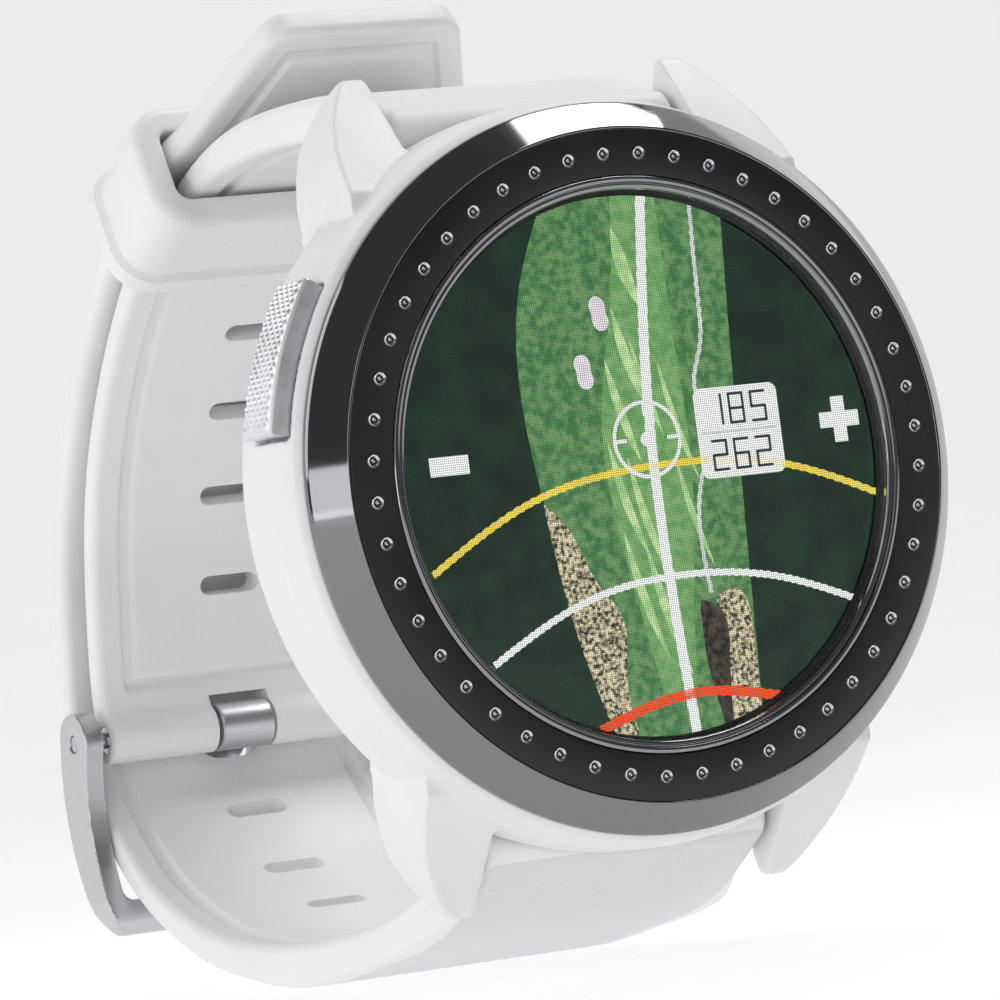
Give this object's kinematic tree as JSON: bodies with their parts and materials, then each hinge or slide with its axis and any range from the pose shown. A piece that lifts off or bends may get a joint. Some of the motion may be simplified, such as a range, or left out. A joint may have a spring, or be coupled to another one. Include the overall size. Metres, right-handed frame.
{
  "type": "gps wrist watch",
  "caption": "Round wrist watch with a course-map display, side button, rubber straps, pin buckle and keeper, buckled into a closed loop.",
  "frame": {"origin": "centre of the flat case back", "axes": "+Y from the face through the case back into the wrist opening, +Z to 12 o'clock, +X to 3 o'clock"},
  "size_m": [0.0464, 0.0654, 0.0619],
  "materials": {
    "case_plastic": "satin white moulded",
    "bezel_steel": "polished dark grey chamfer",
    "ring_black": "satin black",
    "studs_chrome": "polished dished studs",
    "lens_ring_chrome": "polished",
    "lens_glass": "clear hard coated",
    "display": "colour display showing a course map",
    "frame_plastic": "moulded",
    "flex_film": "polyimide ribbon",
    "board": "solder resist",
    "shield_steel": "tinned sheet",
    "antenna_metal": "plated band",
    "switch_plastic": "moulded",
    "battery_pouch": "foil pouch",
    "motor_steel": "drawn can",
    "rotor_metal": "sintered weight",
    "cover_plastic": "dark satin moulded",
    "gasket_rubber": "soft seal",
    "fastener_steel": "passivated",
    "contact_gold": "gold plated",
    "button_metal": "diamond knurled and blasted",
    "strap_rubber": "soft matt white",
    "buckle_metal": "satin grey cast"
  },
  "bodies": {
    "case": {"back_cover": "cover_plastic", "back_cover_gasket": "gasket_rubber", "back_cover_screws": "fastener_steel", "battery": "battery_pouch", "bezel_gasket": "gasket_rubber", "bezel_ring": "bezel_steel", "case_body": "case_plastic", "charging_contacts": "contact_gold", "dial_ring": "ring_black", "dial_ring_studs": "studs_chrome", "display_flex": "flex_film", "display_frame": "frame_plastic", "display_panel": "display", "gps_antenna": "antenna_metal", "lens": "lens_glass", "lens_gasket": "gasket_rubber", "lens_ring": "lens_ring_chrome", "lower_bar_tips": "fastener_steel", "lower_bar_tube": "fastener_steel", "main_board": "board", "motor_housing": "motor_steel", "shield_can": "shield_steel", "tact_switch": "switch_plastic", "upper_bar_tips": "fastener_steel", "upper_bar_tube": "fastener_steel"},
    "upper_strap": {"upper_strap": "strap_rubber", "buckle_pin": "fastener_steel"},
    "lower_strap": {"lower_strap": "strap_rubber"},
    "strap_keeper": {"strap_keeper": "strap_rubber"},
    "buckle_frame": {"buckle_frame": "buckle_metal"},
    "buckle_tongue": {"buckle_tongue": "buckle_metal"},
    "power_button": {"button_cap": "button_metal", "button_stem": "fastener_steel", "button_seal": "gasket_rubber", "button_clip": "fastener_steel", "button_spring": "fastener_steel"},
    "motor_rotor": {"motor_rotor": "rotor_metal"}
  },
  "joints": [
    {"name": "upper_strap_sway", "type": "hinge", "parent": "case", "child": "upper_strap", "pos_m": [0, -0.002, 0.0219], "axis": [1, 0, 0], "range_deg": [-0.5, 0.5], "stiffness_Nm_per_rad": 2},
    {"name": "lower_strap_sway", "type": "hinge", "parent": "case", "child": "lower_strap", "pos_m": [0, -0.002, -0.0219], "axis": [1, 0, 0], "range_deg": [-0.5, 0.5], "stiffness_Nm_per_rad": 2},
    {"name": "strap_keeper_slide", "type": "slide", "parent": "upper_strap", "child": "strap_keeper", "axis": [0, 0.9164, -0.4003], "range_m": [-0.0008, 0.0008]},
    {"name": "buckle_frame_pivot", "type": "hinge", "parent": "upper_strap", "child": "buckle_frame", "pos_m": [0, 0.0476, -0.0117], "axis": [1, 0, 0], "range_deg": [-1, 4]},
    {"name": "buckle_tongue_pivot", "type": "hinge", "parent": "upper_strap", "child": "buckle_tongue", "pos_m": [0, 0.0476, -0.0117], "axis": [1, 0, 0], "range_deg": [-1, 4]},
    {"name": "power_button_press", "type": "slide", "parent": "case", "child": "power_button", "axis": [0.9259, 0, -0.3778], "range_m": [0, 0.0006], "stiffness_N_per_m": 600},
    {"name": "motor_spin", "type": "hinge", "parent": "case", "child": "motor_rotor", "pos_m": [0, -0.004, -0.0146], "axis": [0, 1, 0], "continuous": true}
  ],
  "couplings": [
    {"joint": "lower_strap_sway", "follows": "upper_strap_sway", "ratio": 1},
    {"joint": "buckle_tongue_pivot", "follows": "buckle_frame_pivot", "ratio": 1}
  ]
}
